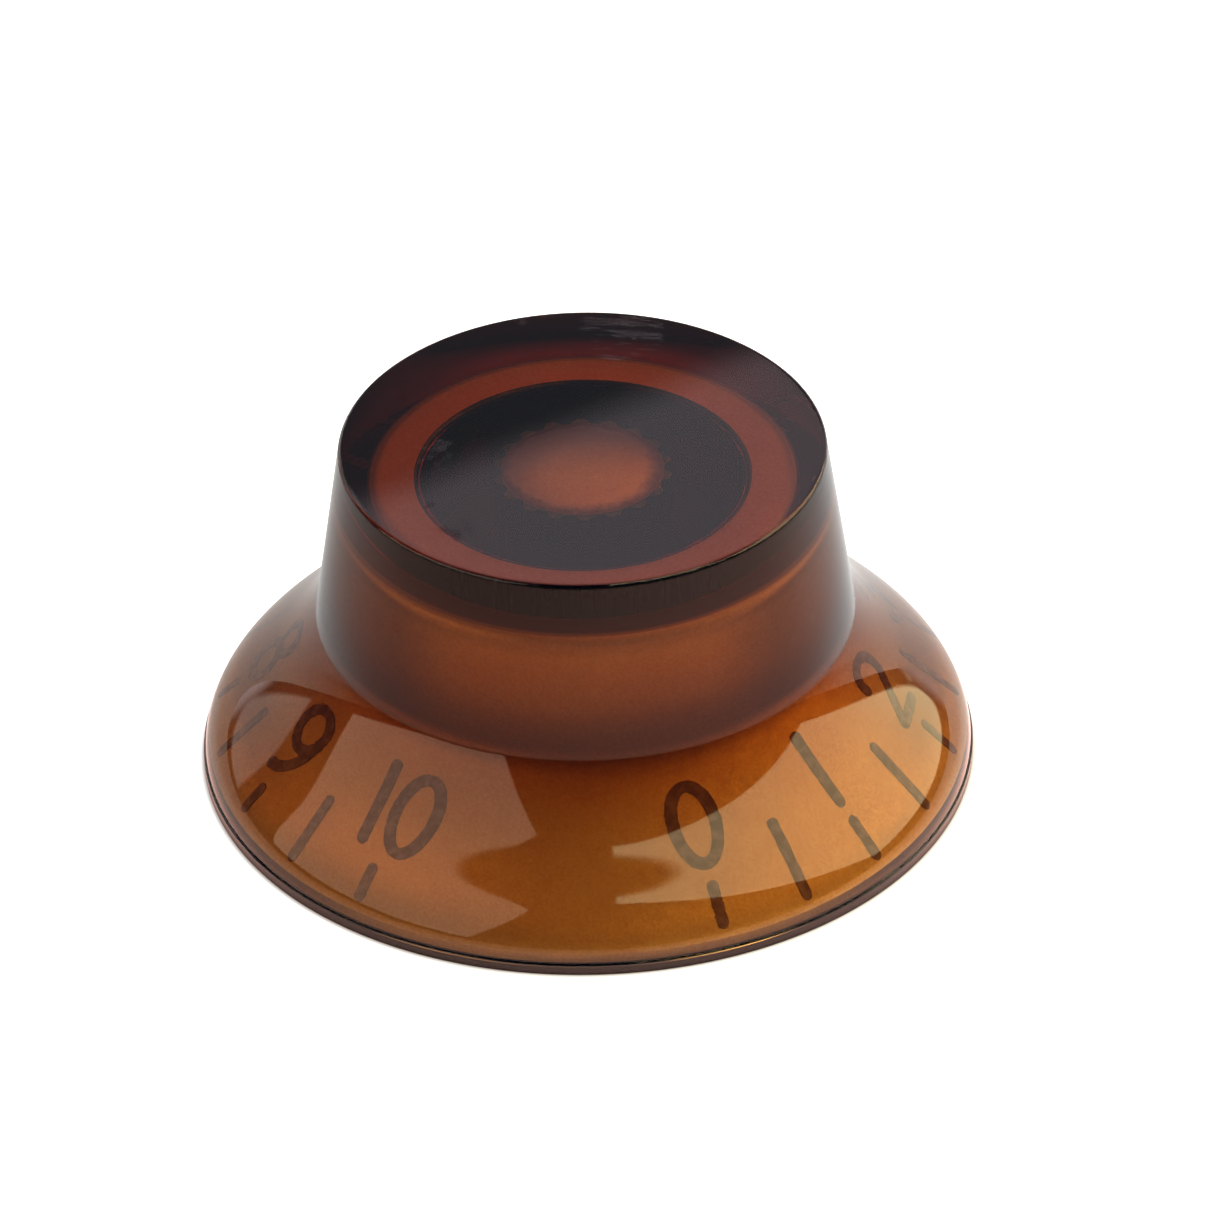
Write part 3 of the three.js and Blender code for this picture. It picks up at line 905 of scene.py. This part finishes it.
def build_world():
    """A dim room with a pale wall behind the knob, softboxes, and a plain sky to look at."""
    world = bpy.data.worlds.new("studio")
    world.use_nodes = True
    bpy.context.scene.world = world
    n = Nodes(world.node_tree)
    sky = n.add("ShaderNodeTexCoord").outputs["Generated"]
    height = n.add("ShaderNodeSeparateXYZ", None, at0=sky).outputs["Z"]
    behind = n.vector("DOT_PRODUCT", sky, direction(CAMERA_AZIMUTH + 180, 0))
    low = n.ramp(height, *BACKDROP_TOP, BACKDROP, ABOVE_BACKDROP)
    backdrop = n.math("MULTIPLY", n.ramp(behind, *BACKDROP_SIDES), low)
    light = n.add("ShaderNodeBackground", None, Color=ROOM_COLOUR, Strength=ROOM)
    wall = n.add("ShaderNodeBackground", None, Color=BACKDROP_COLOUR, Strength=backdrop)
    light = n.add("ShaderNodeAddShader", None, at0=light.outputs[0], at1=wall.outputs[0])
    for box in SOFTBOXES:
        ends = [direction(turn + CAMERA_AZIMUTH, rise) for turn, rise in box.corners]
        middle = sum(ends, Vector()).normalized()
        edge = math.sin(math.radians(box.softness)) / 2
        level = math.sin(math.radians(box.top))
        patch = n.ramp(height, level + edge, level - edge, 0.0, box.strength)
        for start, end in zip(ends, ends[1:] + ends[:1]):
            inward = start.cross(end).normalized()
            if inward.dot(middle) < 0:
                inward.negate()
            side = n.vector("DOT_PRODUCT", sky, inward)
            patch = n.math("MULTIPLY", patch, n.ramp(side, -edge, edge))
        glow = n.add("ShaderNodeBackground", None, Color=(*box.colour, 1), Strength=patch)
        light = n.add("ShaderNodeAddShader", None, at0=light.outputs[0], at1=glow.outputs[0])
    seen = n.add("ShaderNodeLightPath").outputs["Is Camera Ray"]
    plain = n.add("ShaderNodeBackground", None, Color=(1, 1, 1, 1), Strength=SEEN)
    shown = n.add("ShaderNodeMixShader", None, at0=seen, at1=light.outputs[0], at2=plain.outputs[0])
    n.add("ShaderNodeOutputWorld", None, Surface=shown.outputs[0])


def build_floor():
    """A pale floor, evenly white to the camera. For every other ray it glows with painted
    light and painted reflections. It glows only outside the rim, so the hollow stays dark.
    """
    mesh = bpy.data.meshes.new("floor")
    half = FLOOR_HALF * MM
    corners = [(-half, -half, 0), (half, -half, 0), (half, half, 0), (-half, half, 0)]
    mesh.from_pydata(corners, [], [[0, 1, 2, 3]])
    floor = bpy.data.objects.new("floor", mesh)
    bpy.context.scene.collection.objects.link(floor)
    material, n = new_material("floor", (0.9, 0.9, 0.9))
    place = n.add("ShaderNodeTexCoord").outputs["Object"]
    reach = n.vector("LENGTH", place)
    bearing = n.vector("NORMALIZE", place)
    front = n.vector("DOT_PRODUCT", bearing, direction(CAMERA_AZIMUTH, 0))
    right = n.vector("DOT_PRODUCT", bearing, direction(CAMERA_AZIMUTH + 90, 0))
    ahead = n.ramp(front, *FRONT_SIDES)

    # Painted light: a bright ring on the floor just outside the rim, dimmer far off in front.
    rim = n.ramp(reach, *metres(*RIM_LIGHT_RADII), RIM_LIGHT, BEYOND_RIM)
    far = n.ramp(reach, *metres(*FAR_RADII), 1.0, FAR_FLOOR)
    far = n.math("MAXIMUM", far, n.ramp(ahead, 0, 1, 1.0, 0.0))
    reflected = n.ramp(ahead, 0, 1, BACK_FLOOR, FRONT_FLOOR)
    reflected = n.math("MULTIPLY", reflected, n.ramp(right, -1, 1, LEFT_FLOOR, RIGHT_FLOOR))
    reflected = n.math("MULTIPLY", reflected, n.math("MULTIPLY", far, rim))

    seen = n.add("ShaderNodeLightPath").outputs["Is Camera Ray"]
    either = n.add("ShaderNodeMix", {"data_type": "FLOAT"}, at0=seen, at2=reflected, at3=SEEN)
    outside = n.ramp(reach, *metres(*(LIP_RADIUS * share for share in GLOW_START)))
    glow = n.math("MULTIPLY", either.outputs[0], outside)

    # Painted bounce light: for every ray but the camera's, the glow in front is tinted warm by the
    # rim and further out.
    painted_bounce = n.math(
        "MAXIMUM",
        n.ramp(reach, *metres(*NEAR_BOUNCE_RADII)),
        n.ramp(reach, *metres(*FAR_BOUNCE_RADII)),
    )
    tinted = n.math("MULTIPLY", n.math("MULTIPLY", ahead, painted_bounce), n.math("SUBTRACT", 1.0, seen))
    grain_and_shade = n.ramp(n.noise(place, scale=60, detail=3.0), 0.3, 0.7, *FLOOR_GRAIN)
    # Painted shade: every ray but the camera's sees the floor's grain ten times darker.
    grain_and_shade = n.math("MULTIPLY", grain_and_shade, n.ramp(seen, 0, 1, 0.1, 1.0))
    surface = n.add(
        "ShaderNodeBsdfPrincipled",
        None,
        Base_Color=n.mix(grain_and_shade, (0, 0, 0, 1), (1, 1, 1, 1)),
        Roughness=0.9,
        Emission_Color=n.mix(tinted, (1, 1, 1, 1), PAINTED_BOUNCE_TINT),
        Emission_Strength=glow,
    )
    n.add("ShaderNodeOutputMaterial", None, Surface=surface.outputs[0])
    mesh.materials.append(material)


# ---------------------------------------------------------------- the scene

LIGHT_BOUNCES = 20  # light crosses the plastic many times

amber = amber_plastic()
gold = gold_lacquer()
ink = dial_ink()

build_shell(amber)
build_lining(gold)
build_bore_end(gold)
build_dial(ink)

build_floor()
build_world()
build_camera()

bpy.context.scene.view_settings.view_transform = "Standard"
bpy.context.scene.view_settings.look = "Medium High Contrast"
bpy.context.scene.cycles.max_bounces = LIGHT_BOUNCES
bpy.context.scene.cycles.transmission_bounces = LIGHT_BOUNCES
